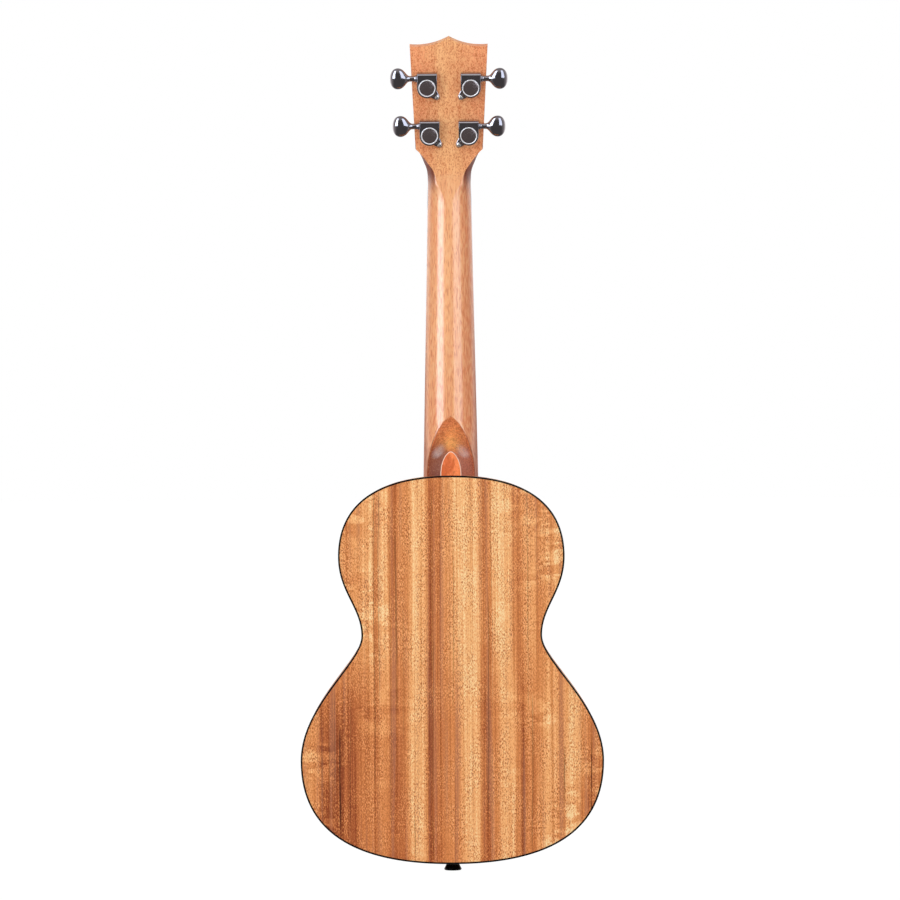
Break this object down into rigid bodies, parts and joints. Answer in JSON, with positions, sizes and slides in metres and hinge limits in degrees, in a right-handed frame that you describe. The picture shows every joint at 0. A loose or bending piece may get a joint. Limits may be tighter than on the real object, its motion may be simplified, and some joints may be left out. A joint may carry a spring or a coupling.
{
  "type": "tenor ukulele",
  "caption": "Tenor ukulele with a flat figured-wood back, black edge binding, stacked heel, pointed headstock and dark sealed-gear tuners that turn.",
  "frame": {"origin": "centre of the flat end of the strap button, the lowest point; x = 0 is the centreline and y = 0 the middle of the body's depth", "axes": "+Z along the neck towards the headstock's tip; -Y out of the soundboard (front); +Y out of the back; -X is the bass side (G string)"},
  "size_m": [0.2428, 0.0826, 0.6744],
  "materials": {
    "body_wood": "satin, open-pored figured hardwood",
    "neck_wood": "satin, pale reddish mahogany-like",
    "spruce": "raw, unfinished",
    "dark_wood": "oiled",
    "black_plastic": "gloss",
    "bone": "polished, bone-coloured",
    "smoke_chrome": "mirror, smoke-dark plating",
    "nickel": "bright plating",
    "brass": "machined",
    "string": "smooth nylon"
  },
  "bodies": {
    "instrument": {"soundboard": "body_wood", "back_plate": "body_wood", "side_bass": "body_wood", "side_treble": "body_wood", "binding_front": "black_plastic", "binding_back": "black_plastic", "lining_front": "spruce", "lining_back": "spruce", "neck_block": "spruce", "tail_block": "spruce", "brace_front_upper": "spruce", "brace_front_lower": "spruce", "bridge_patch": "spruce", "brace_back_upper": "spruce", "brace_back_lower": "spruce", "strap_button": "black_plastic", "neck": "neck_wood", "heel_block": "neck_wood", "headstock_veneer": "body_wood", "fretboard": "dark_wood", "nut": "bone", "bridge": "dark_wood", "saddle": "bone", "string_g": "string", "string_c": "string", "string_e": "string", "string_a": "string", "housing_g": "smoke_chrome", "gear_cover_g": "smoke_chrome", "bushing_g": "smoke_chrome", "mounting_screw_g": "nickel", "housing_c": "smoke_chrome", "gear_cover_c": "smoke_chrome", "bushing_c": "smoke_chrome", "mounting_screw_c": "nickel", "housing_e": "smoke_chrome", "gear_cover_e": "smoke_chrome", "bushing_e": "smoke_chrome", "mounting_screw_e": "nickel", "housing_a": "smoke_chrome", "gear_cover_a": "smoke_chrome", "bushing_a": "smoke_chrome", "mounting_screw_a": "nickel"},
    "knob_unit_g": {"worm_shaft_g": "smoke_chrome", "knob_g": "smoke_chrome"},
    "post_unit_g": {"string_post_g": "smoke_chrome", "worm_wheel_g": "brass"},
    "knob_unit_c": {"worm_shaft_c": "smoke_chrome", "knob_c": "smoke_chrome"},
    "post_unit_c": {"string_post_c": "smoke_chrome", "worm_wheel_c": "brass"},
    "knob_unit_e": {"worm_shaft_e": "smoke_chrome", "knob_e": "smoke_chrome"},
    "post_unit_e": {"string_post_e": "smoke_chrome", "worm_wheel_e": "brass"},
    "knob_unit_a": {"worm_shaft_a": "smoke_chrome", "knob_a": "smoke_chrome"},
    "post_unit_a": {"string_post_a": "smoke_chrome", "worm_wheel_a": "brass"}
  },
  "joints": [
    {"name": "knob_turn_g", "type": "hinge", "parent": "instrument", "child": "knob_unit_g", "pos_m": [-0.0158, -0.00984, 0.60083], "axis": [1, 0, 0], "continuous": true},
    {"name": "post_turn_g", "type": "hinge", "parent": "instrument", "child": "post_unit_g", "pos_m": [-0.0158, -0.01594, 0.59471], "axis": [0, 0.9781, -0.2079], "continuous": true},
    {"name": "knob_turn_c", "type": "hinge", "parent": "instrument", "child": "knob_unit_c", "pos_m": [-0.01765, -0.00177, 0.63878], "axis": [1, 0, 0], "continuous": true},
    {"name": "post_turn_c", "type": "hinge", "parent": "instrument", "child": "post_unit_c", "pos_m": [-0.01765, -0.00788, 0.63266], "axis": [0, 0.9781, -0.2079], "continuous": true},
    {"name": "knob_turn_e", "type": "hinge", "parent": "instrument", "child": "knob_unit_e", "pos_m": [0.01765, -0.00177, 0.63878], "axis": [1, 0, 0], "continuous": true},
    {"name": "post_turn_e", "type": "hinge", "parent": "instrument", "child": "post_unit_e", "pos_m": [0.01765, -0.00788, 0.63266], "axis": [0, 0.9781, -0.2079], "continuous": true},
    {"name": "knob_turn_a", "type": "hinge", "parent": "instrument", "child": "knob_unit_a", "pos_m": [0.0158, -0.00984, 0.60083], "axis": [1, 0, 0], "continuous": true},
    {"name": "post_turn_a", "type": "hinge", "parent": "instrument", "child": "post_unit_a", "pos_m": [0.0158, -0.01594, 0.59471], "axis": [0, 0.9781, -0.2079], "continuous": true}
  ],
  "couplings": [
    {"joint": "post_turn_g", "follows": "knob_turn_g", "ratio": -0.071429},
    {"joint": "post_turn_c", "follows": "knob_turn_c", "ratio": -0.071429},
    {"joint": "post_turn_e", "follows": "knob_turn_e", "ratio": -0.071429},
    {"joint": "post_turn_a", "follows": "knob_turn_a", "ratio": -0.071429}
  ]
}
